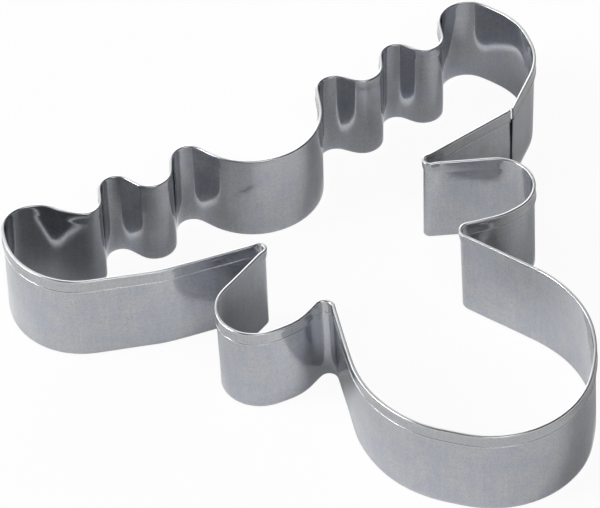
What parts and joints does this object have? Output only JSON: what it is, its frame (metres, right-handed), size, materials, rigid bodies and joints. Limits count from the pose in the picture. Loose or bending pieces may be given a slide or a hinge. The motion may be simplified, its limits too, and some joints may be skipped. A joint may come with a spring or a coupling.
{
  "type": "cookie cutter",
  "caption": "Moose-head cookie cutter bent from a stainless steel strip, with a folded-over top edge, a plain cutting edge and a spot-welded lap on one antler.",
  "frame": {"origin": "middle of the outline's box, on the plane of the cutting edge", "axes": "+X across the antlers towards the one with the lap, +Y from the muzzle to the antlers, +Z from the cutting edge up to the hemmed rim"},
  "size_m": [0.1478, 0.1308, 0.025],
  "materials": {
    "strip_steel": "cold-rolled stainless sheet, satin with a fine grain along the strip",
    "weld_steel": "fused stainless steel, slightly darkened"
  },
  "bodies": {
    "root": {"cutter_strip": "strip_steel", "spot_weld_upper": "weld_steel", "spot_weld_lower": "weld_steel"}
  },
  "joints": []
}
